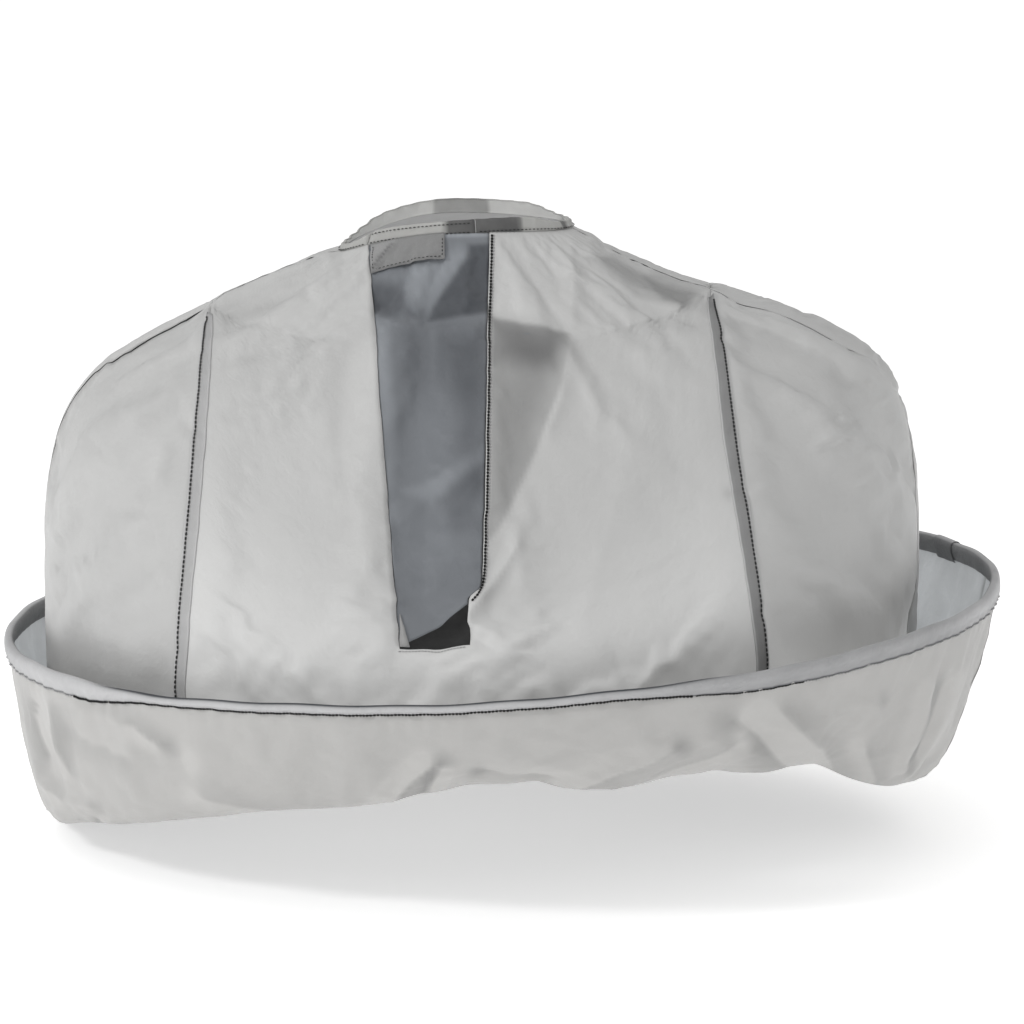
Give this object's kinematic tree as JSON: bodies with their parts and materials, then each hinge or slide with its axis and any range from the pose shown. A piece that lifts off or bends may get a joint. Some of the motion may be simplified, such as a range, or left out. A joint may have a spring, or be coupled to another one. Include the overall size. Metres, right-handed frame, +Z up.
{
  "type": "umbrella cape",
  "caption": "Sleeveless light nylon cape with a neck slit and flap, and a catch trough round its hem held open by a sprung hoop in a casing.",
  "frame": {"origin": "middle of the neck opening", "axes": "+Z up out of the neck, -Y to the wearer's front, +X to the right as seen from the front"},
  "size_m": [0.9479, 0.9486, 0.5928],
  "materials": {
    "light_nylon": "thin plain-weave nylon, slightly see-through, soft sheen",
    "shaded_nylon": "the same nylon, unlit from behind, satin",
    "seam_tape": "folded nylon tape with a stitch row along its edges",
    "casing_cloth": "two layers of nylon, puckered by the seam",
    "fastener_tape": "hook and loop tape with sewn edges",
    "spring_steel": "drawn spring wire"
  },
  "bodies": {
    "cape": {"front_centre_panel": "light_nylon", "front_left_panel": "light_nylon", "front_right_panel": "light_nylon", "back_centre_panel": "light_nylon", "back_left_panel": "light_nylon", "back_right_panel": "light_nylon", "front_left_seam_tape": "seam_tape", "front_right_seam_tape": "seam_tape", "back_left_seam_tape": "seam_tape", "back_right_seam_tape": "seam_tape", "left_shoulder_tape": "seam_tape", "right_shoulder_tape": "seam_tape", "back_neckband": "seam_tape", "left_neckband": "seam_tape", "right_neckband": "seam_tape", "left_slit_hem": "light_nylon", "right_slit_hem": "light_nylon", "slit_base_bar": "seam_tape", "placket_facing": "shaded_nylon", "neck_hook_tape": "fastener_tape"},
    "flap": {"neck_flap": "shaded_nylon", "flap_neckband": "seam_tape", "flap_loop_tape": "fastener_tape"},
    "hem": {"trough_front_wall": "light_nylon", "trough_back_wall": "light_nylon", "left_trough_tape": "seam_tape", "right_trough_tape": "seam_tape"},
    "rim": {"rim_casing": "casing_cloth", "casing_join_patch": "casing_cloth", "hoop_wire": "spring_steel", "hoop_sleeve": "spring_steel"}
  },
  "joints": [
    {"name": "flap_swing", "type": "hinge", "parent": "cape", "child": "flap", "pos_m": [0.0275, -0.3412, -0.2832], "axis": [0.0115, 0.6919, 0.7219], "range_deg": [0, 110]},
    {"name": "cape_collapse", "type": "slide", "parent": "cape", "child": "hem", "axis": [0, 0, -1], "range_m": [-0.34, 0], "deforming": ["front_centre_panel", "front_left_panel", "front_right_panel", "back_centre_panel", "back_left_panel", "back_right_panel", "front_left_seam_tape", "front_right_seam_tape", "back_left_seam_tape", "back_right_seam_tape", "left_shoulder_tape", "right_shoulder_tape", "left_slit_hem", "right_slit_hem", "slit_base_bar", "placket_facing", "neck_hook_tape"]},
    {"name": "rim_drop", "type": "slide", "parent": "hem", "child": "rim", "axis": [0, 0, -1], "range_m": [0, 0.2], "deforming": ["trough_front_wall", "trough_back_wall", "left_trough_tape", "right_trough_tape"]}
  ]
}
